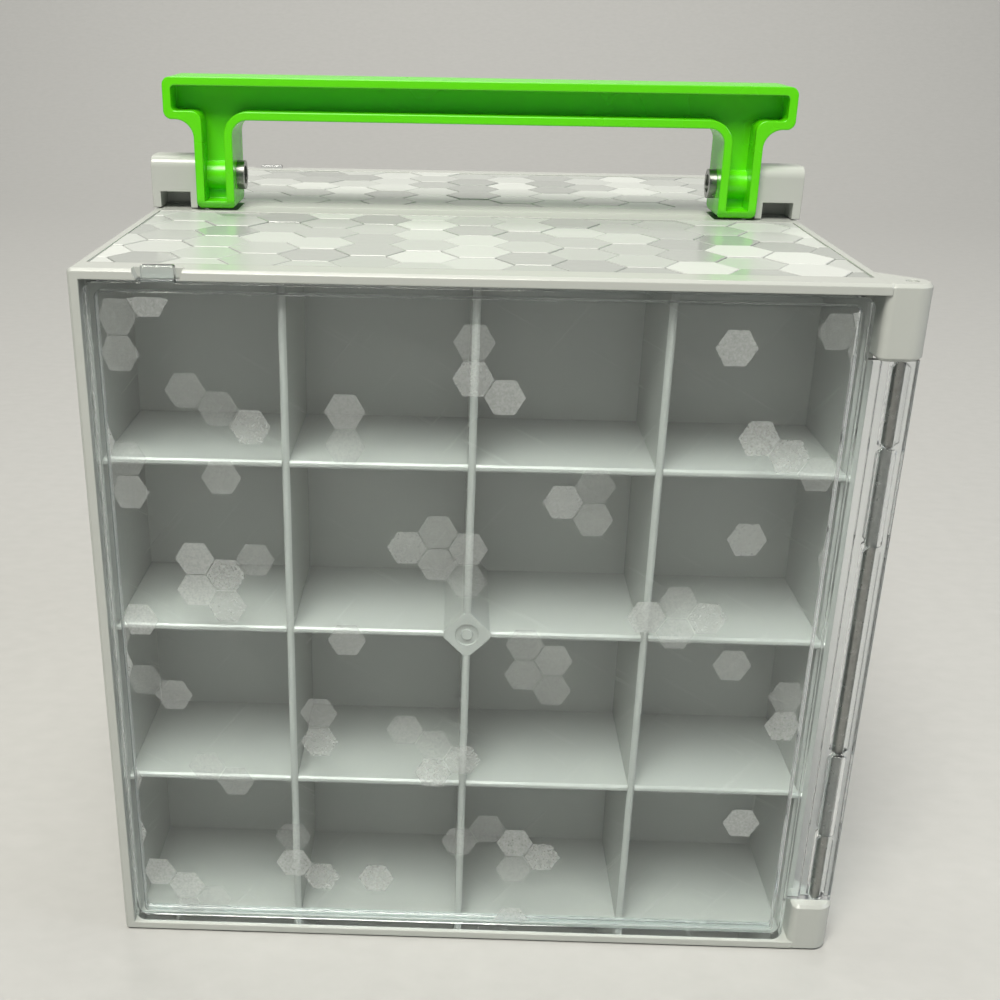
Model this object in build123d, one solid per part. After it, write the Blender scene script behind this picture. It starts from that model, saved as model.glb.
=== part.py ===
from build123d import *
import os

# Figure storage case, in millimetres. +X is to the right, the front door faces -Y and +Z is up.
# The origin is on the ground, in the middle of the shut case; the seam between its halves is at y = 0.

# Shut case
case_width = 190.0
case_height = 190.0
half_depth = 95.0
seam_gap = 0.3
outer_edge_radius = 1.2
front_edge_chamfer = 0.7
body_gap = 0.3

# Moulded half: frame round the door, walls round the cells, and the web between its two sides
frame_wall = 2.6
door_recess_depth = 5.7
cell_wall = 3.75
cells_across = 4
cells_high = 4
rib_thickness = 1.9
rib_nose_chamfer = 0.55
display_depth = 38.0
web_thickness = 2.0
inner_rib_setback = 0.6
boss_half_diagonal = 7.0
boss_dimple_radius = 3.0
boss_dimple_depth = 0.5
boss_pip_radius = 1.5

# Shallow panels on the top and the sides
panel_depth = 0.6
panel_front_border = 7.6
panel_seam_border = 10.0
top_panel_side_border = 2.8
side_panel_end_border = 7.6

# Clear door
door_gap = 0.6
door_hinge_side_gap = 3.9
door_setback = 0.4
door_plate = 1.8
door_skirt_depth = 5.0
door_skirt_width = 2.4
door_corner_radius = 2.8
door_web_thickness = 2.2

# Door hinge, outside the right-hand wall
door_axis_outset = 5.0
door_rod_radius = 1.5
door_knuckle_radius = 4.7
top_knuckle_height = 18.2
bottom_knuckle_height = 15.2
knuckle_edge_chamfer = 0.8
knuckle_corner_radius = 2.0
knuckle_swing_gap = 2.2
door_knuckle_root = 14.7
wall_cutback = 8.9
door_barrel_radius = 4.4
barrel_flat = 1.9
sleeve_radius = 2.9
sleeve_end_radius = 2.0
rod_channel_width = 4.2
rod_channel_end_chamfer = 1.3
open_end_section = 22.0
clasp_section = 25.5
rod_end_depth = 1.0
rod_top_cover = 3.0
knuckle_dimple_radius = 1.5
knuckle_dimple_depth = 0.5

# Latch tab at the door's top edge, and the notch it stands in
latch_from_left = 21.0
latch_tab_width = 7.8
latch_tab_rise = 0.9
latch_notch_width = 12.6
latch_notch_taper = 1.6
latch_tab_thickness = 2.2

# Book hinge at the seam, outside the left-hand wall
book_axis_outset = 5.2
book_barrel_radius = 4.5
book_pin_radius = 1.6
book_knuckle_length = 16.0
book_hinge_from_end = 45.0

# Locating pegs at the seam, in the right-hand corners
peg_radius = 2.0
peg_length = 4.0
peg_tip_chamfer = 0.8
peg_corner_offset = 6.5
peg_boss_radius = 4.5
peg_boss_length = 12.0

# Handle: a bar with two legs, a channel on each face and a web down the middle
handle_depth = 18.0
handle_rise = 37.2
handle_bar_height = 11.6
handle_bar_overhang = 8.4
handle_rim = 2.3
handle_web = 2.0
leg_outer_from_side = 13.6
leg_width = 11.0
leg_end_clearance = 0.3
leg_end_radius = 3.0
leg_corner_radius = 1.8
bar_corner_radius = 2.3
bracket_outer_radius = 5.2
bracket_inner_radius = 4.5
handle_boss_radius = 4.2

# Handle pins and the ears that hold them
handle_pin_rise = 9.3
handle_pin_radius = 2.0
handle_pin_cover = 2.5
pin_head_radius = 4.2
pin_head_thickness = 2.1
pin_head_recess_radius = 2.6
pin_head_recess_depth = 0.9
ear_depth = 12.6
ear_rise = 15.0
ear_edge_radius = 3.0
ear_leg_gap = 0.4
window_width = 8.8
window_height = 4.6
window_depth = 9.0
window_side_wall = 2.4
pocket_clearance = 0.45

# Fits, as radial sizes
running_clearance = 0.05
press_interference = 0.02

# Places worked out from the sizes above, for the front half; the rear half is its mirror image
half_width = case_width / 2
front_face = -half_depth
seam_face = -seam_gap / 2
recess_half = half_width - frame_wall
cell_front = front_face + door_recess_depth
web_front = cell_front + display_depth
web_back = web_front + web_thickness
grid_half = half_width - cell_wall
grid_bottom = cell_wall
grid_top = case_height - cell_wall
grid_middle = case_height / 2
pitch_across = (2 * grid_half + rib_thickness) / cells_across
pitch_up = (grid_top - grid_bottom + rib_thickness) / cells_high
rib_offset = rib_thickness / 2
boss_reach = boss_half_diagonal - rib_offset
door_axis_x = half_width + door_axis_outset
door_axis_y = front_face + door_knuckle_radius
door_front = front_face + door_setback
door_left = -recess_half + door_gap
door_right = half_width - door_hinge_side_gap
door_bottom = frame_wall + door_gap
door_top = case_height - frame_wall - door_gap
latch_x = -half_width + latch_from_left
latch_back = door_front + latch_tab_thickness
book_axis_x = -half_width - book_axis_outset
book_hinge_heights = (book_hinge_from_end, case_height - book_hinge_from_end)
peg_x = half_width - peg_corner_offset
peg_heights = (peg_corner_offset, case_height - peg_corner_offset)
handle_top = case_height + handle_rise
handle_pin_height = case_height + handle_pin_rise
ear_top = case_height + ear_rise
leg_outer = half_width - leg_outer_from_side
leg_inner = leg_outer - leg_width
handle_half = leg_outer + handle_bar_overhang
leg_end = case_height + leg_end_clearance
ear_inner = leg_outer + ear_leg_gap
leg_swing = ((handle_depth / 2 - leg_end_radius) ** 2
             + (handle_pin_height - leg_end - leg_end_radius) ** 2) ** 0.5 + leg_end_radius
pocket_radius = leg_swing + pocket_clearance


def block(x_span, y_span, z_span):
    """A box given by its lowest and highest place along each axis."""
    spans = (x_span, y_span, z_span)
    middle = [(low + high) / 2 for low, high in spans]
    return Pos(*middle) * Box(*[high - low for low, high in spans])


def post(x, y, z_span, radius):
    """An upright cylinder about (x, y)."""
    low, high = z_span
    return Pos(x, y, (low + high) / 2) * Cylinder(radius, high - low)


def rod_along_x(x_span, radius):
    """A cylinder along X on the handle's pin axis."""
    low, high = x_span
    return Pos((low + high) / 2, 0, handle_pin_height) * Rot(0, 90, 0) * Cylinder(radius, high - low)


def slab(sketch, y_front, y_back):
    """A sketch drawn as seen from the front, made solid from y_front to y_back."""
    return extrude(Plane.XZ.offset(-y_back) * sketch, amount=y_back - y_front)


# Moulded halves

def door_knuckle(z_span):
    """One of a door hinge's two fixed knuckles: a post with a round end that runs back into the wall."""
    wall_root = front_face + door_knuckle_root
    ring = Pos(door_axis_x, door_axis_y) * Circle(door_knuckle_radius)
    inner = door_right + knuckle_swing_gap
    radius = knuckle_corner_radius
    corner = Pos(inner + radius, front_face + radius) * Circle(radius)
    root = Pos((inner + half_width) / 2, wall_root - radius / 2) * Rectangle(half_width - inner, radius)
    outline = make_hull(ring.edges() + corner.edges() + root.edges())
    low, high = z_span
    knuckle = extrude(Pos(0, 0, low) * outline, amount=high - low)
    ends = knuckle.edges().group_by(Axis.Z)
    return chamfer(ends[0] + ends[-1], knuckle_edge_chamfer)


def door_hinge_features(shell):
    """Cut the wall back for the clear hinge barrel, then add the two knuckles and bore them for the rod."""
    opening_z = (frame_wall, case_height - frame_wall)
    shell -= block((grid_half, half_width + 1), (front_face - 1, front_face + wall_cutback), opening_z)
    shell += door_knuckle((0, bottom_knuckle_height))
    shell += door_knuckle((case_height - top_knuckle_height, case_height))
    bore_radius = door_rod_radius - press_interference
    shell -= post(door_axis_x, door_axis_y, (-1, case_height - rod_top_cover), bore_radius)
    dimple_z = (case_height - knuckle_dimple_depth, case_height + 1)
    return shell - post(door_axis_x, door_axis_y, dimple_z, knuckle_dimple_radius)


def latch_notch():
    """The gap in the frame's top edge that the door's latch tab stands in, wider at its mouth."""
    half_mouth = latch_notch_width / 2
    half_floor = half_mouth - latch_notch_taper
    low, high = case_height - frame_wall - 1, case_height + 1
    corners = [(-half_floor, low), (half_floor, low), (half_mouth, high), (-half_mouth, high)]
    sketch = Pos(latch_x, 0) * make_face(Polyline(*corners, close=True))
    return slab(sketch, front_face - 1, latch_back + 2 * body_gap)


def panels():
    """The shallow recesses that carry the relief on the top and on both sides."""
    y_span = (front_face + panel_front_border, -panel_seam_border)
    side_y = (front_face + door_knuckle_root + panel_front_border, -panel_seam_border)
    top_half = half_width - top_panel_side_border
    side_z = (side_panel_end_border, case_height - side_panel_end_border)
    top = block((-top_half, top_half), y_span, (case_height - panel_depth, case_height + 1))
    left = block((-half_width - 1, -half_width + panel_depth), y_span, side_z)
    right = block((half_width - panel_depth, half_width + 1), side_y, side_z)
    return [top, left, right]


def leg_pockets():
    """Round-bottomed hollows in the top, which the corners of the handle's legs swing through."""
    inner = leg_inner - ear_leg_gap
    return [rod_along_x(span, pocket_radius) for span in ((-ear_inner, -inner), (inner, ear_inner))]


def half_shell():
    """One moulded half, drawn as the front one: an open frame with a web, and no hinge leaf or peg yet."""
    shell = block((-half_width, half_width), (front_face, seam_face), (0, case_height))
    shell = fillet(shell.edges().filter_by(Axis.Y), outer_edge_radius)
    shell = chamfer(shell.edges().group_by(Axis.Y)[0], front_edge_chamfer)
    grid_z = (grid_bottom, grid_top)
    shell -= block((-recess_half, recess_half), (front_face - 1, cell_front), (frame_wall, case_height - frame_wall))
    shell -= block((-grid_half, grid_half), (cell_front - 1, web_front), grid_z)
    shell -= block((-grid_half, grid_half), (web_back, seam_face + 1), grid_z)
    shell = door_hinge_features(shell)
    shell -= latch_notch()
    for hollow in panels() + leg_pockets():
        shell -= hollow
    for z in peg_heights:
        boss = Pos(peg_x, seam_face - peg_boss_length / 2, z) * Rot(90, 0, 0)
        shell += boss * Cylinder(peg_boss_radius, peg_boss_length)
    return shell


def book_knuckle(z_span, side):
    """A knuckle of the book hinge with the leaf that joins it to its own half; side is -1 for the front."""
    near, far = sorted((side * seam_gap / 2, side * book_barrel_radius))
    leaf = block((book_axis_x, -half_width + outer_edge_radius), (near, far), z_span)
    return post(book_axis_x, 0, z_span, book_barrel_radius) + leaf


def book_hinge_spans(middle):
    """The heights of a hinge's knuckles, from the bottom: rear, front, rear."""
    step = book_knuckle_length + body_gap
    return [(middle + n * step - book_knuckle_length / 2, middle + n * step + book_knuckle_length / 2)
            for n in (-1, 0, 1)]


def ear(side):
    """A lug that holds a handle pin; it stands on the rear half and reaches over the front one."""
    inner, outer = ear_inner, half_width
    x_span = (inner, outer) if side > 0 else (-outer, -inner)
    underside = case_height + leg_end_clearance
    lug = block(x_span, (-ear_depth / 2, ear_depth / 2), (underside, ear_top))
    top_edges = [edge for edge in lug.edges().filter_by(Axis.X) if edge.center().Z > ear_top - 0.1]
    lug = fillet(top_edges, ear_edge_radius)
    lug += block(x_span, (seam_gap / 2, ear_depth / 2), (case_height - panel_depth, underside + 1))
    window_x = side * (half_width - window_side_wall - window_width / 2)
    window_z = underside + window_height / 2
    opening = Pos(window_x, window_z) * Rectangle(window_width, window_height)
    lug -= slab(opening, -ear_depth / 2 - 1, -ear_depth / 2 + window_depth)
    hole_end = half_width - handle_pin_cover
    hole_span = (inner - 1, hole_end) if side > 0 else (-hole_end, -inner + 1)
    return lug - rod_along_x(hole_span, handle_pin_radius - press_interference)


def front_half_shell():
    """The front half: the middle knuckle of each book hinge, and the pegs."""
    shell = half_shell()
    for middle in book_hinge_heights:
        shell += book_knuckle(book_hinge_spans(middle)[1], -1)
        shell -= post(book_axis_x, 0, book_hinge_spans(middle)[1], book_pin_radius + running_clearance)
    for z in peg_heights:
        peg = Pos(peg_x, seam_face + (peg_length - 1) / 2, z) * Rot(-90, 0, 0) * Cylinder(peg_radius, peg_length + 1)
        shell += chamfer(peg.edges().sort_by(Axis.Y)[-1], peg_tip_chamfer)
    return shell


def rear_half_shell():
    """The rear half: a mirrored moulding with the outer book-hinge knuckles, the sockets and the ears."""
    shell = mirror(half_shell(), about=Plane.XZ)
    for middle in book_hinge_heights:
        spans = book_hinge_spans(middle)
        for span in (spans[0], spans[2]):
            shell += book_knuckle(span, 1)
        bore = (spans[0][0] + rod_end_depth, spans[2][1] + 1)
        shell -= post(book_axis_x, 0, bore, book_pin_radius - press_interference)
    for z in peg_heights:
        depth = peg_length + seam_gap + body_gap
        socket = Pos(peg_x, depth / 2, z) * Rot(90, 0, 0) * Cylinder(peg_radius + body_gap, depth)
        shell -= socket
    return shell + ear(-1) + ear(1)


# Cell dividers

def upright(x, z_span, root, nose):
    """An upright divider panel with an eased nose."""
    panel = block((x - rib_offset, x + rib_offset), sorted((root, nose)), z_span)
    edges = panel.edges().filter_by(Axis.Z).sort_by(Axis.Y)
    return chamfer(edges[:2] if nose < root else edges[-2:], rib_nose_chamfer)


def shelf(x_span, z, root, nose):
    """A level divider panel with an eased nose."""
    panel = block(x_span, sorted((root, nose)), (z - rib_offset, z + rib_offset))
    edges = panel.edges().filter_by(Axis.X).sort_by(Axis.Y)
    return chamfer(edges[:2] if nose < root else edges[-2:], rib_nose_chamfer)


def centre_boss(root, nose):
    """The diamond column where the middle dividers cross, with a dimple and a pip in its face."""
    diamond = Rot(0, 0, 45) * Rectangle(boss_half_diagonal * 2 ** 0.5, boss_half_diagonal * 2 ** 0.5)
    outline = Pos(0, grid_middle) * (diamond & Rectangle(2 * boss_reach, 2 * boss_reach))
    boss = slab(outline, nose, root)
    dimple = Pos(0, grid_middle) * (Circle(boss_dimple_radius) - Circle(boss_pip_radius))
    return boss - slab(dimple, nose - 1, nose + boss_dimple_depth)


def divider_grid(root, nose, with_boss):
    """The panels that part one side of a half into cells, each a solid that meets the next face to face."""
    columns = [-grid_half + n * pitch_across - rib_offset for n in range(1, cells_across)]
    rows = [grid_bottom + n * pitch_up - rib_offset for n in range(1, cells_high)]

    def pieces(spans, crosses_middle, middle):
        """The stretches of one panel, less what the boss takes from those that reach the middle."""
        if not (with_boss and crosses_middle):
            return spans
        near, far = middle - boss_reach, middle + boss_reach
        cut = [(low, min(high, near)) for low, high in spans if low < near]
        return cut + [(max(low, far), high) for low, high in spans if high > far]

    solids = []
    for x in columns:
        for z_span in pieces([(grid_bottom, grid_top)], abs(x) < boss_reach, grid_middle):
            solids.append(upright(x, z_span, root, nose))
    edges = [-grid_half] + [x + side * rib_offset for x in columns for side in (-1, 1)] + [grid_half]
    cell_spans = list(zip(edges[::2], edges[1::2]))
    for z in rows:
        for x_span in pieces(cell_spans, abs(z - grid_middle) < boss_reach, 0):
            solids.append(shelf(x_span, z, root, nose))
    if with_boss:
        solids.append(centre_boss(root, nose))
    return Compound(children=solids)


# Clear door

def door_outline(inset):
    """The door's rounded outline, drawn smaller by inset all round."""
    width = door_right - door_left - 2 * inset
    height = door_top - door_bottom - 2 * inset
    outline = RectangleRounded(width, height, door_corner_radius - min(inset, door_corner_radius / 2))
    return Pos((door_left + door_right) / 2, (door_bottom + door_top) / 2) * outline


def barrel_sections():
    """The barrel's stretches from the bottom up, each with the side that it is open to: -1 front, 1 back."""
    low = bottom_knuckle_height + body_gap
    high = case_height - top_knuckle_height - body_gap
    breaks = [low, low + open_end_section, low + open_end_section + clasp_section]
    breaks += [low + high - place for place in reversed(breaks)]
    return [(breaks[n], breaks[n + 1], -1 if n % 2 == 0 else 1) for n in range(5)]


def door_barrel():
    """The barrel of the door hinge: a bar with two flats whose stretches clasp the rod from back and front
    in turn. Each is an eased channel on one side and a sleeve that stands out of the flat on the other."""
    sections = barrel_sections()
    z_span = (sections[0][0], sections[-1][1])
    flats = block((door_axis_x - door_barrel_radius, door_axis_x + door_barrel_radius),
                  (door_axis_y - barrel_flat, door_axis_y + barrel_flat), z_span)
    barrel = post(door_axis_x, door_axis_y, z_span, door_barrel_radius) & flats
    channels = []
    for low, high, side in sections:
        middle = Pos(door_axis_x, (low + high) / 2)
        sleeve_outline = middle * RectangleRounded(2 * sleeve_radius, high - low, sleeve_end_radius)
        near, far = sorted((door_axis_y, door_axis_y - side * sleeve_radius))
        barrel += post(door_axis_x, door_axis_y, (low, high), sleeve_radius) & slab(sleeve_outline, near, far)
        near, far = sorted((door_axis_y, door_axis_y + side * door_barrel_radius))
        channel_outline = Rectangle(rod_channel_width, high - low - 2 * body_gap)
        channel_outline = chamfer(channel_outline.vertices(), rod_channel_end_chamfer)
        channels.append(slab(middle * channel_outline, near, far))
    for channel in channels:
        barrel -= channel
    return barrel - post(door_axis_x, door_axis_y, z_span, door_rod_radius + running_clearance)


def door():
    """The clear moulding: plate, skirt, latch tab, and the web and barrel that turn on the hinge rod."""
    plate_back = door_front + door_plate
    skirt_back = door_front + door_skirt_depth
    body = slab(door_outline(0), door_front, skirt_back)
    body -= slab(door_outline(door_skirt_width), plate_back, skirt_back + 1)
    tab_half = latch_tab_width / 2
    tab_z = (door_top - door_skirt_width, case_height + latch_tab_rise)
    tab = block((latch_x - tab_half, latch_x + tab_half), (door_front, latch_back), tab_z)
    body += fillet(tab.edges().sort_by(Axis.Z)[-4:], 0.6)
    sections = barrel_sections()
    z_span = (sections[0][0], sections[-1][1])
    web_x = (door_right - door_skirt_width, door_axis_x - (rod_channel_width / 2 + body_gap))
    web_front = door_axis_y - barrel_flat
    return body + block(web_x, (web_front, web_front + door_web_thickness), z_span) + door_barrel()


def door_rod():
    """The steel rod that a door turns on, pressed into the two fixed knuckles."""
    return post(door_axis_x, door_axis_y, (rod_end_depth, case_height - rod_top_cover), door_rod_radius)


def book_pin(middle):
    """The pin of one book hinge, pressed into the rear half's knuckles."""
    spans = book_hinge_spans(middle)
    return post(book_axis_x, 0, (spans[0][0] + rod_end_depth, spans[2][1]), book_pin_radius)


# Handle

def handle_outline(inset):
    """The handle from the front, drawn smaller by inset all round: a bar and two legs with curved
    brackets. Only the outside has rounded feet."""
    bar_half = handle_half - inset
    bar_top = handle_top - inset
    bar_bottom = handle_top - handle_bar_height + inset
    foot = leg_end + inset
    outline = Pos(0, (bar_top + bar_bottom) / 2) * Rectangle(2 * bar_half, bar_top - bar_bottom)
    leg_middle = (leg_outer + leg_inner) / 2
    for side in (-1, 1):
        leg = Rectangle(leg_width - 2 * inset, bar_top - foot)
        outline += Pos(side * leg_middle, (bar_top + foot) / 2) * leg
    inside_x = leg_inner + inset
    outside_x = leg_outer - inset

    def corners(x, height):
        return [v for v in outline.vertices() if abs(abs(v.X) - x) < 0.01 and abs(v.Y - height) < 0.01]

    bar_radius = bar_corner_radius - inset / 2
    room = handle_bar_overhang - bar_corner_radius
    rounding = [(bar_half, bar_top, bar_radius), (bar_half, bar_bottom, bar_radius),
                (inside_x, bar_bottom, bracket_inner_radius + inset),
                (outside_x, bar_bottom, min(bracket_outer_radius, room) - inset)]
    if inset == 0:
        rounding += [(inside_x, foot, leg_corner_radius), (outside_x, foot, leg_corner_radius)]
    for x, height, radius in rounding:
        outline = fillet(corners(x, height), radius)
    return outline


def handle():
    """The moulded handle: rim and middle web, bored bosses for its pins, and rounded leg ends."""
    half = handle_depth / 2
    body = slab(handle_outline(0), -half, half)
    channel = handle_outline(handle_rim)
    body -= slab(channel, -half - 1, -handle_web / 2)
    body -= slab(channel, handle_web / 2, half + 1)
    for side in (-1, 1):
        x_span = sorted((side * (leg_inner + 1), side * (leg_outer - 1)))
        body += rod_along_x(x_span, handle_boss_radius)
    height = handle_top - leg_end + leg_end_radius
    profile = Pos(0, leg_end + height / 2) * RectangleRounded(handle_depth, height, leg_end_radius)
    body &= extrude(Plane.YZ.offset(-half_width) * profile, amount=case_width)
    for side in (-1, 1):
        x_span = sorted((side * (leg_inner - 1), side * (leg_outer + 1)))
        body -= rod_along_x(x_span, handle_pin_radius + running_clearance)
    return body


def handle_pin(side):
    """A headed steel pin that goes through a leg and is pressed into its ear."""
    head_near = leg_inner - running_clearance
    head_far = head_near - pin_head_thickness
    tip = half_width - handle_pin_cover
    pin = rod_along_x(sorted((side * head_near, side * tip)), handle_pin_radius)
    pin += rod_along_x(sorted((side * head_far, side * head_near)), pin_head_radius)
    recess = sorted((side * (head_far - 1), side * (head_far + pin_head_recess_depth)))
    return pin - rod_along_x(recess, pin_head_recess_radius)


nodes = {
    "front_shell": front_half_shell(),
    "rear_shell": rear_half_shell(),
    "front_display_dividers": divider_grid(web_front, cell_front, True),
    "front_inner_dividers": divider_grid(web_back, seam_face - inner_rib_setback, False),
    "front_door": door(),
    "front_door_rod": door_rod(),
    "upper_book_hinge_pin": book_pin(book_hinge_heights[1]),
    "lower_book_hinge_pin": book_pin(book_hinge_heights[0]),
    "handle": handle(),
    "left_handle_pin": handle_pin(-1),
    "right_handle_pin": handle_pin(1),
}
for name in ("display_dividers", "inner_dividers", "door", "door_rod"):
    nodes["rear_" + name] = mirror(nodes["front_" + name], about=Plane.XZ)

os.makedirs("parts", exist_ok=True)
for name, shape in nodes.items():
    export_step(shape, "parts/" + name + ".step")
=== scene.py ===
import math

import bpy
import numpy as np
from mathutils import Matrix, Vector


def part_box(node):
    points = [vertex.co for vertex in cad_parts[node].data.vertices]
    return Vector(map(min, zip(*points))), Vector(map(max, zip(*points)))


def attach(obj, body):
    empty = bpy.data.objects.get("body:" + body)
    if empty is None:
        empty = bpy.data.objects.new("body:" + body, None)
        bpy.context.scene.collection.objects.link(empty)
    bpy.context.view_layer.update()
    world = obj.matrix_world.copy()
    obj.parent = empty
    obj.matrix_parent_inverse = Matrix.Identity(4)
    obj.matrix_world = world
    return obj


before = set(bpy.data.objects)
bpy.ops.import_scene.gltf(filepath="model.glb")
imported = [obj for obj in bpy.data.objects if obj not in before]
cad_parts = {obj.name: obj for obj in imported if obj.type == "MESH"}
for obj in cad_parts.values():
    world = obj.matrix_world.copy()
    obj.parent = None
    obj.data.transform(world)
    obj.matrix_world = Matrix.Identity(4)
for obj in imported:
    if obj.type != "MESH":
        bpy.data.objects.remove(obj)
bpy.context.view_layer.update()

# The viewpoint: a hand-held shot from in front of the case and above it, a little turned and tilted.
# The camera stands 28 cm in front of the door; its angles were worked out from the case's own edges.
# The picture's middle is a little off the lens's axis, as in a photograph cropped at its sides.

camera_place = np.array([-0.0052, -0.3791, 0.2485])
camera_down = math.radians(21.84)
camera_turn = math.radians(-1.325)
camera_tilt = math.radians(0.896)
sensor_width = 36.0
focal_share = 1.2493
crop_shift = 0.0767


def camera_axes(down, turn, tilt):
    """The camera's right, up and forward directions.

    Forward is +Y turned by turn towards +X and lowered by down; up is square to it, and
    right and up are then both turned about it by tilt."""
    forward = np.array([math.sin(turn) * math.cos(down), math.cos(turn) * math.cos(down), -math.sin(down)])
    level = np.array([math.cos(turn), -math.sin(turn), 0.0])
    above = np.cross(level, forward)
    right = math.cos(tilt) * level + math.sin(tilt) * above
    up = math.cos(tilt) * above - math.sin(tilt) * level
    return right, up, forward


right, up, forward = camera_axes(camera_down, camera_turn, camera_tilt)
lens = bpy.data.cameras.new("camera")
lens.sensor_width = sensor_width
lens.lens = focal_share * sensor_width
lens.shift_x = crop_shift
lens.clip_start = 0.01
camera = bpy.data.objects.new("camera", lens)
bpy.context.scene.collection.objects.link(camera)
pose = np.eye(4)
pose[:3, 0], pose[:3, 1], pose[:3, 2], pose[:3, 3] = right, up, -forward, camera_place
camera.matrix_world = Matrix(pose.tolist())
bpy.context.scene.camera = camera
bpy.context.scene.view_settings.view_transform = "Standard"


# The studio: a pale seamless sweep, a strong soft lamp above and in front, a weak one at the right
# and a third that faces the backdrop and also lights the case's top. The sweep is matt pale grey paper.

def to_linear(hex_colour):
    """A hex sRGB colour as linear RGBA: each channel c becomes c / 12.92 where it is at most 0.04045,
    and ((c + 0.055) / 1.055) ** 2.4 elsewhere."""
    channels = np.array([int(hex_colour[n:n + 2], 16) for n in (1, 3, 5)]) / 255
    linear = np.where(channels <= 0.04045, channels / 12.92, ((channels + 0.055) / 1.055) ** 2.4)
    return (*linear.tolist(), 1.0)


def add_node(material, kind, links=None, **settings):
    """Adds a node of that kind. settings name its own properties or, by their names with spaces as
    underscores, its inputs; links maps an input's name or number to the output that feeds it."""
    node = material.node_tree.nodes.new(kind)
    for name, value in settings.items():
        socket = name.replace("_", " ")
        if hasattr(node, name):
            setattr(node, name, value)
        elif socket in node.inputs:
            node.inputs[socket].default_value = value
        else:
            raise KeyError(kind + " has no " + name)
    for socket, source in (links or {}).items():
        material.node_tree.links.new(source, node.inputs[socket])
    return node


def new_material(name):
    """An empty node material and its output node."""
    material = bpy.data.materials.new(name)
    material.use_nodes = True
    material.node_tree.nodes.clear()
    return material, material.node_tree.nodes.new("ShaderNodeOutputMaterial")


def mesh_piece(name, points, faces, material, smooth=False):
    """A mesh object at the origin from an array of points and a list of faces."""
    mesh = bpy.data.meshes.new(name)
    mesh.from_pydata(np.asarray(points, float).tolist(), [], [tuple(face) for face in faces])
    mesh.validate()
    mesh.update()
    mesh.polygons.foreach_set("use_smooth", [smooth] * len(mesh.polygons))
    mesh.materials.append(material)
    piece = bpy.data.objects.new(name, mesh)
    bpy.context.scene.collection.objects.link(piece)
    return piece


def grid_faces(rows, columns):
    """The quads of a grid of points numbered row by row."""
    corner = (np.arange(rows - 1)[:, None] * columns + np.arange(columns - 1)).ravel()
    return np.stack([corner, corner + 1, corner + columns + 1, corner + columns], axis=1)


def sweep_surface(width, near, far, height, bend, steps=24):
    """The sweep: the floor z = 0 from y = near to far - bend, a quarter circle of radius bend, a wall.

    On the bend, at an angle t from 0 to 90 degrees, y = far - bend + bend sin t, z = bend - bend cos t."""
    turn = np.linspace(0, math.pi / 2, steps)
    y = np.concatenate([[near], far - bend + bend * np.sin(turn), [far]])
    z = np.concatenate([[0], bend - bend * np.cos(turn), [height]])
    x = np.array([-width / 2, width / 2])
    points = np.stack([np.tile(x, len(y)), np.repeat(y, 2), np.repeat(z, 2)], axis=1)
    return points, grid_faces(len(y), 2)


paper, output = new_material("matt_paper")
grain = add_node(paper, "ShaderNodeTexNoise", Scale=900.0, Detail=2.0)
tone = add_node(paper, "ShaderNodeMix", {0: grain.outputs["Fac"]}, data_type="RGBA")
tone.inputs[6].default_value = to_linear("#AEAEAC")
tone.inputs[7].default_value = to_linear("#B6B6B4")
sheen = add_node(paper, "ShaderNodeBsdfPrincipled", {"Base Color": tone.outputs[2]}, Roughness=0.9)
paper.node_tree.links.new(sheen.outputs[0], output.inputs["Surface"])
points, faces = sweep_surface(width=8.0, near=-3.0, far=2.2, height=3.0, bend=1.0)
sweep = mesh_piece("paper_sweep", points, faces, paper, smooth=True)

world = bpy.data.worlds.new("room")
bpy.context.scene.world = world
world.use_nodes = True
world.node_tree.nodes["Background"].inputs["Color"].default_value = to_linear("#DFE7F2")
world.node_tree.nodes["Background"].inputs["Strength"].default_value = 0.12


def soft_lamp(name, place, target, size, power, colour):
    """A square area lamp at place that faces target."""
    light = bpy.data.lights.new(name, "AREA")
    light.shape, light.size, light.energy = "SQUARE", size, power
    light.color = to_linear(colour)[:3]
    lamp = bpy.data.objects.new(name, light)
    bpy.context.scene.collection.objects.link(lamp)
    lamp.location = place
    away = Vector(place) - Vector(target)
    lamp.rotation_euler = away.to_track_quat("Z", "Y").to_euler()
    return lamp


case_middle = (0, 0, 0.1)
soft_lamp("lamp_above", (-0.2, -0.78, 1.45), case_middle, 0.7, 32, "#FFFCF2")
soft_lamp("lamp_right", (1.4, -0.3, 0.9), case_middle, 0.6, 5, "#F4F8FF")
soft_lamp("lamp_backdrop", (0, 1.1, 2.4), (0, 2.2, 0.7), 1.2, 42, "#FFFCF6")


# The two halves: each a glossy pale grey moulding with its cell dividers.
# Injection-moulded ABS from a polished tool: bright, with a faint ripple and soft edges.

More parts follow.
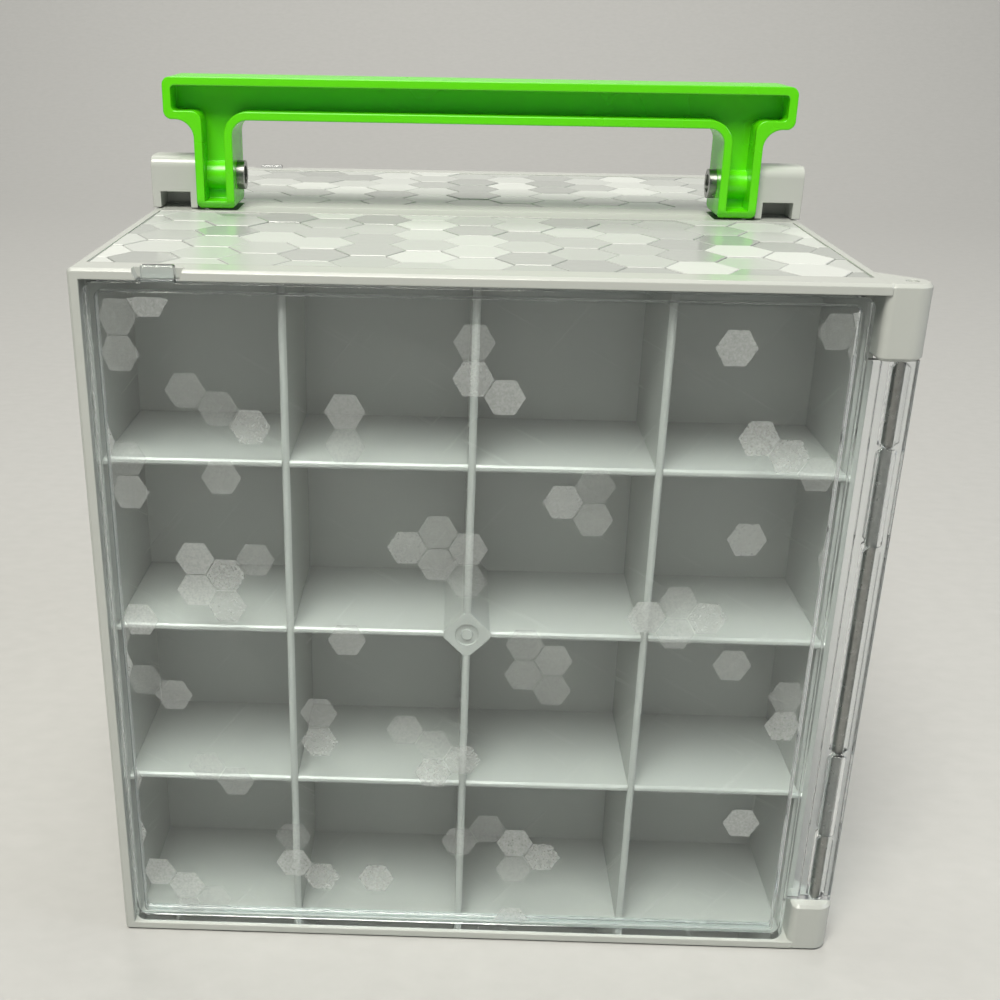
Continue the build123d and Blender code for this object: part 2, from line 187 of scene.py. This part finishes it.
def moulded_plastic(name, colour, shade, roughness, edge_radius):
    """A glossy moulded plastic.

    The colour drifts between colour and shade over about 40 mm. A ripple of about 3 mm and a
    fine grain of 0.4 mm bend the shine, and every edge is rounded to edge_radius."""
    material, output = new_material(name)
    place = add_node(material, "ShaderNodeTexCoord").outputs["Object"]
    drift = add_node(material, "ShaderNodeTexNoise", {"Vector": place}, Scale=25.0, Detail=3.0)
    colours = add_node(material, "ShaderNodeMix", {0: drift.outputs["Fac"]}, data_type="RGBA")
    colours.inputs[6].default_value = to_linear(colour)
    colours.inputs[7].default_value = to_linear(shade)
    ripple = add_node(material, "ShaderNodeTexNoise", {"Vector": place}, Scale=330.0, Detail=1.0)
    fine = add_node(material, "ShaderNodeTexNoise", {"Vector": place}, Scale=2500.0, Detail=2.0)
    dull = add_node(material, "ShaderNodeMapRange", {"Value": drift.outputs["Fac"]}, To_Min=roughness * 0.8,
                    To_Max=roughness * 1.3)
    rounded = add_node(material, "ShaderNodeBevel", samples=8, Radius=edge_radius)
    wavy = add_node(material, "ShaderNodeBump",
                    {"Height": ripple.outputs["Fac"], "Normal": rounded.outputs[0]}, Strength=0.08,
                    Distance=0.0004)
    grainy = add_node(material, "ShaderNodeBump",
                      {"Height": fine.outputs["Fac"], "Normal": wavy.outputs[0]}, Strength=0.04,
                      Distance=0.0001)
    skin = add_node(material, "ShaderNodeBsdfPrincipled",
                    {"Base Color": colours.outputs[2], "Roughness": dull.outputs[0],
                     "Normal": grainy.outputs[0]}, IOR=1.5)
    material.node_tree.links.new(skin.outputs[0], output.inputs["Surface"])
    return material


def dress(node, material):
    """Gives a CAD node its material."""
    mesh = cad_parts[node].data
    mesh.materials.clear()
    mesh.materials.append(material)


case_grey = ("#B8BBB6", "#B1B4B0")
case_plastic = moulded_plastic("grey_moulded_abs", *case_grey, 0.2, 0.0004)
for half in ("front", "rear"):
    for part in ("shell", "display_dividers", "inner_dividers"):
        dress(half + "_" + part, case_plastic)


# The relief on the top and sides: low six-sided tiles that stand up from the shallow panels.
# They are moulded in one with the shell, at slightly different heights, and some are duller than others.

tile_across = 0.0155
tile_gap = 0.0003
tile_ease = 0.0002
tile_rises = (0.00022, 0.00055)
ring_corners = 6
tile_corners = 3 * ring_corners
shell_low, shell_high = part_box("front_shell")
cell_wall = 0.00375
case_half = cell_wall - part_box("front_display_dividers")[0].x
case_top = shell_high.z
# The panels' floor lies below the faces round it; the other values are the widths of those faces.
panel_floor = 0.0006
panel_seam = 0.010
panel_ends = 0.0076
panel_sides = 0.0028
knuckle_root = 0.0147


def honeycomb(across, width, height):
    """The centres of a honeycomb of six-sided cells that covers a width by height panel about (0, 0).

    Columns are across * sqrt(3) / 2 apart, and every second one is shifted by half a cell."""
    step = across * math.sqrt(3) / 2
    columns = np.arange(-int(width / step / 2) - 1, int(width / step / 2) + 2)
    rows = np.arange(-int(height / across / 2) - 1, int(height / across / 2) + 2)
    column, row = np.meshgrid(columns, rows, indexing="ij")
    centres = np.stack([column * step, (row + 0.5 * (column % 2)) * across], axis=2).reshape(-1, 2)
    reach = np.array([width, height]) / 2 + 0.45 * across
    return centres[(np.abs(centres) < reach).all(axis=1)]


def hexagon_tiles(centres, across, rise, ease, width, height):
    """Six-sided tiles: three rings of corners for each, at its foot, at its shoulder and round its face.

    Corner k of a ring lies at radius r and angle 60 k degrees from the tile's centre, with r the
    across-corners radius for the foot and shoulder, and less ease for the face. Corners past the panel's
    edge are drawn in to it, which trims the tiles there. Returns (u, v, height) points and faces."""
    k = np.arange(ring_corners)
    angle = k * math.pi / 3
    ring = np.stack([np.cos(angle), np.sin(angle)], axis=1)
    outer = across / math.sqrt(3)
    radii = np.array([outer, outer, outer - ease])
    flat = centres[:, None, None, :] + radii[None, :, None, None] * ring[None, None, :, :]
    limit = np.array([width / 2, height / 2])
    inset = np.array([0.0, 0.0, ease])[None, :, None, None]
    flat = np.clip(flat, -limit + inset, limit - inset)
    levels = np.stack([np.zeros_like(rise), rise - ease, rise], axis=1)
    lift = np.broadcast_to(levels[:, :, None], flat.shape[:3])[..., None]
    points = np.concatenate([flat, lift], axis=3).reshape(-1, 3)
    first = np.arange(len(centres))[:, None] * tile_corners
    after = (k + 1) % ring_corners
    lower = np.stack([k, after, after + ring_corners, k + ring_corners], axis=1)
    sides = np.concatenate([lower, lower + ring_corners])
    quads = (first[:, :, None] + sides[None]).reshape(-1, 4)
    tops = first + 2 * ring_corners + k
    feet = first + k[::-1]
    return points, quads.tolist() + tops.tolist() + feet.tolist()


def tile_finish():
    """The relief's plastic: the shell's, a little lighter or darker and duller from tile to tile."""
    material = moulded_plastic("grey_moulded_relief", *case_grey, 0.2, 0.00015)
    tree = material.node_tree
    skin = next(node for node in tree.nodes if node.type == "BSDF_PRINCIPLED")
    tone = add_node(material, "ShaderNodeAttribute", attribute_name="tone")
    shade = add_node(material, "ShaderNodeMix", {0: tone.outputs["Fac"]}, data_type="RGBA")
    shade.inputs[6].default_value = to_linear("#9EA29F")
    shade.inputs[7].default_value = to_linear("#C4C7C4")
    dull = add_node(material, "ShaderNodeMapRange", {"Value": tone.outputs["Fac"]}, To_Min=0.06, To_Max=0.5)
    tree.links.new(shade.outputs[2], skin.inputs["Base Color"])
    tree.links.new(dull.outputs[0], skin.inputs["Roughness"])
    return material


def relief(name, body, middle, across, up, width, height, seed):
    """A panel of tiles that rides on a half: its point (u, v, rise) lies at middle + u across + v up
    and rise above the panel's floor, along the cross product of across and up."""
    rng = np.random.default_rng(seed)
    centres = honeycomb(tile_across, width, height)
    rise = rng.uniform(*tile_rises, len(centres))
    flat, faces = hexagon_tiles(centres, tile_across - tile_gap, rise, tile_ease, width, height)
    axes = np.array([across, up, np.cross(across, up)], float)
    piece = mesh_piece(name, np.array(middle) + flat @ axes, faces, tile_plastic)
    tone = piece.data.attributes.new("tone", "FLOAT", "POINT")
    tone.data.foreach_set("value", np.repeat(rng.uniform(0, 1, len(centres)), tile_corners))
    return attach(piece, body)


tile_plastic = tile_finish()
side_middle = case_top / 2
for half, sign, seed in (("front", -1, 3), ("rear", 1, 8)):
    edge = shell_low.y + panel_ends
    body = half + "_half"
    length = -panel_seam - edge
    middle = sign * (panel_seam + length / 2)
    relief(half + "_top_relief", body, (0, middle, case_top - panel_floor), (1, 0, 0), (0, 1, 0),
           2 * (case_half - panel_sides), length, seed)
    relief(half + "_left_relief", body, (panel_floor - case_half, middle, side_middle), (0, -1, 0),
           (0, 0, 1), length, case_top - 2 * panel_ends, seed + 1)
    length -= knuckle_root
    middle = sign * (panel_seam + length / 2)
    relief(half + "_right_relief", body, (case_half - panel_floor, middle, side_middle), (0, 1, 0),
           (0, 0, 1), length, case_top - 2 * panel_ends, seed + 2)


# The two doors: one clear moulding each, with frosted six-sided patches on the face.
# Injection-moulded polystyrene, polished but for the patches, and covered in fine scratches from use.

def clear_plastic(name, tint):
    """A clear plastic of refractive index 1.49.

    A lamp's light passes each face at the Transparent shader's colour, about 55 per cent for a sheet's two
    faces. A real sheet passes about 80 per cent; the colour was set darker, to darken the cells
    behind the door.

    Two sets of hairline scratches raise its roughness from 0.02 to 0.25. Each is a noise, turned about
    the door's Y axis, 40 times longer along its lines than across them and cut near its crest."""
    material, output = new_material(name)
    place = add_node(material, "ShaderNodeTexCoord").outputs["Object"]
    dulls = []
    for turn, per_metre in ((0.5, 1500.0), (-0.9, 1200.0)):
        spun = add_node(material, "ShaderNodeMapping", {"Vector": place}, vector_type="TEXTURE")
        spun.inputs["Rotation"].default_value = (0, turn, 0)
        spun.inputs["Scale"].default_value = (40 / per_metre, 40 / per_metre, 1 / per_metre)
        lines = add_node(material, "ShaderNodeTexNoise", {"Vector": spun.outputs[0]}, Scale=1.0, Detail=1.0)
        dulls.append(add_node(material, "ShaderNodeMapRange", {"Value": lines.outputs["Fac"]}, From_Min=0.70,
                              From_Max=0.74, To_Min=0.02, To_Max=0.25))
    worst = add_node(material, "ShaderNodeMath", {0: dulls[0].outputs[0], 1: dulls[1].outputs[0]},
                     operation="MAXIMUM")
    rounded = add_node(material, "ShaderNodeBevel", samples=8, Radius=0.0008)
    body = add_node(material, "ShaderNodeBsdfPrincipled",
                    {"Roughness": worst.outputs[0], "Normal": rounded.outputs[0]}, Transmission_Weight=1.0,
                    IOR=1.49)
    body.inputs["Base Color"].default_value = to_linear(tint)
    passing = add_node(material, "ShaderNodeBsdfTransparent")
    passing.inputs["Color"].default_value = to_linear("#DCE0E1")
    rays = add_node(material, "ShaderNodeLightPath")
    either = add_node(material, "ShaderNodeMixShader",
                      {0: rays.outputs["Is Shadow Ray"], 1: body.outputs[0], 2: passing.outputs[0]})
    material.node_tree.links.new(either.outputs[0], output.inputs["Surface"])
    return material


def frosted_plastic(name):
    """The frosted patches: a thin milky skin that hides from 14 to 42 per cent of what lies behind it,
    by the patch. A grain of about 0.5 mm takes 4 off that or adds 6 to it."""
    material, output = new_material(name)
    place = add_node(material, "ShaderNodeTexCoord").outputs["Object"]
    grain = add_node(material, "ShaderNodeTexNoise", {"Vector": place}, Scale=1800.0, Detail=3.0)
    tone = add_node(material, "ShaderNodeAttribute", attribute_name="tone")
    thick = add_node(material, "ShaderNodeMapRange", {"Value": tone.outputs["Fac"]}, To_Min=0.14, To_Max=0.42)
    speck = add_node(material, "ShaderNodeMapRange", {"Value": grain.outputs["Fac"]}, From_Min=0.35,
                     From_Max=0.65, To_Min=-0.04, To_Max=0.06)
    cover = add_node(material, "ShaderNodeMath", {0: thick.outputs[0], 1: speck.outputs[0]}, operation="ADD")
    bumpy = add_node(material, "ShaderNodeBump", {"Height": grain.outputs["Fac"]}, Strength=0.3,
                     Distance=0.0001)
    skin = add_node(material, "ShaderNodeBsdfPrincipled",
                    {"Alpha": cover.outputs[0], "Normal": bumpy.outputs[0]}, Roughness=0.55)
    skin.inputs["Base Color"].default_value = to_linear("#CDD1D0")
    material.node_tree.links.new(skin.outputs[0], output.inputs["Surface"])
    return material


patch_across = 0.0088
patch_gap = 0.0002
patch_share = 0.13
patch_lift = 0.00005
patch_edge = 0.0035
door_edge_x = case_half - 0.0075
door_edge_z = case_top - 0.0065
boss_reach = 0.0135


def frosting(name, body, node, sign, seed):
    """Clusters of six-sided patches on a door's outer face, which looks along sign * Y.

    A patch is there where a smooth random field, the sum of six plane waves from 25 to 45 mm long, is in
    its highest share, and one in fifty of all the places is the other way round. The cells' middle boss,
    which shows through the door, is left clear."""
    rng = np.random.default_rng(seed)
    low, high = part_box(node)
    plate_low = np.array([low.x, low.z]) + patch_edge
    plate_high = np.array([door_edge_x, door_edge_z])
    plate_middle = (plate_low + plate_high) / 2
    width, height = plate_high - plate_low
    centres = honeycomb(patch_across, width, height)
    heading = rng.uniform(0, 2 * math.pi, 6)
    waves = np.stack([np.cos(heading), np.sin(heading)]) * rng.uniform(140, 250, 6)
    field = np.cos(centres @ waves + rng.uniform(0, 2 * math.pi, 6)).sum(axis=1)
    chosen = field > np.quantile(field, 1 - patch_share)
    chosen ^= rng.uniform(0, 1, len(centres)) < 1 / 50
    chosen &= np.linalg.norm(centres + plate_middle - [0, case_top / 2], axis=1) > boss_reach
    centres = centres[chosen]
    angle = np.arange(ring_corners) * math.pi / 3
    ring = np.stack([np.cos(angle), np.sin(angle)], axis=1) * (patch_across - patch_gap) / math.sqrt(3)
    flat = centres[:, None, :] + ring
    flat = np.clip(flat, [-width / 2, -height / 2], [width / 2, height / 2]).reshape(-1, 2)
    flat += plate_middle
    face_y = low.y if sign < 0 else high.y
    points = np.stack([flat[:, 0], np.full(len(flat), face_y + sign * patch_lift), flat[:, 1]], axis=1)
    order = np.arange(ring_corners)[::-sign]
    faces = (np.arange(len(centres))[:, None] * ring_corners + order).tolist()
    piece = mesh_piece(name, points, faces, frost)
    tone = piece.data.attributes.new("tone", "FLOAT", "POINT")
    tone.data.foreach_set("value", np.repeat(rng.uniform(0, 1, len(centres)), ring_corners))
    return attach(piece, body)


clear = clear_plastic("clear_polystyrene", "#F3F6F7")
frost = frosted_plastic("frosted_polystyrene")
dress("front_door", clear)
dress("rear_door", clear)
frosting("front_door_frosting", "front_door", "front_door", -1, 21)
frosting("rear_door_frosting", "rear_door", "rear_door", 1, 34)


# The handle: a bright green moulding with a channel in each face, loose on its two pins.
# The same glossy ABS as the case in another colour, a little more rounded at its edges.

dress("handle", moulded_plastic("green_moulded_abs", "#5FD808", "#57CE05", 0.25, 0.0006))


# The pins and rods: turned mild steel, bright where they were faced off.
# The handle pins have a cupped head; the other pins and the door rods are plain.

def turned_steel(name, colour, shade, axis_height):
    """Turned steel: rings 0.12 mm apart about the handle pins' axis, and a cloudy tarnish. The rings are
    the sine of the distance from that axis, and coarser than real ones so that they show. They cross the
    upright pins and rods as fine bands."""
    material, output = new_material(name)
    place = add_node(material, "ShaderNodeTexCoord").outputs["Object"]
    parts = add_node(material, "ShaderNodeSeparateXYZ", {"Vector": place})
    height = add_node(material, "ShaderNodeMath", {0: parts.outputs["Z"]}, operation="SUBTRACT")
    height.inputs[1].default_value = axis_height
    flat = add_node(material, "ShaderNodeCombineXYZ", {"X": parts.outputs["Y"], "Y": height.outputs[0]})
    radius = add_node(material, "ShaderNodeVectorMath", {0: flat.outputs[0]}, operation="LENGTH")
    rings = add_node(material, "ShaderNodeMath", {0: radius.outputs["Value"]}, operation="MULTIPLY")
    rings.inputs[1].default_value = 2 * math.pi / 0.00012
    crest = add_node(material, "ShaderNodeMath", {0: rings.outputs[0]}, operation="SINE")
    cut = add_node(material, "ShaderNodeBump", {"Height": crest.outputs[0]}, Strength=0.15, Distance=0.00002)
    cloud = add_node(material, "ShaderNodeTexNoise", {"Vector": place}, Scale=600.0, Detail=3.0)
    tone = add_node(material, "ShaderNodeMix", {0: cloud.outputs["Fac"]}, data_type="RGBA")
    tone.inputs[6].default_value = to_linear(colour)
    tone.inputs[7].default_value = to_linear(shade)
    dull = add_node(material, "ShaderNodeMapRange", {"Value": cloud.outputs["Fac"]}, To_Min=0.2, To_Max=0.4)
    skin = add_node(material, "ShaderNodeBsdfPrincipled",
                    {"Base Color": tone.outputs[2], "Roughness": dull.outputs[0], "Normal": cut.outputs[0]},
                    Metallic=1.0)
    material.node_tree.links.new(skin.outputs[0], output.inputs["Surface"])
    return material


pin_low, pin_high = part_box("left_handle_pin")
steel = turned_steel("turned_steel", "#A2A3A1", "#7E7F7C", (pin_low.z + pin_high.z) / 2)
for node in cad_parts:
    if node.endswith(("_pin", "_rod")):
        dress(node, steel)
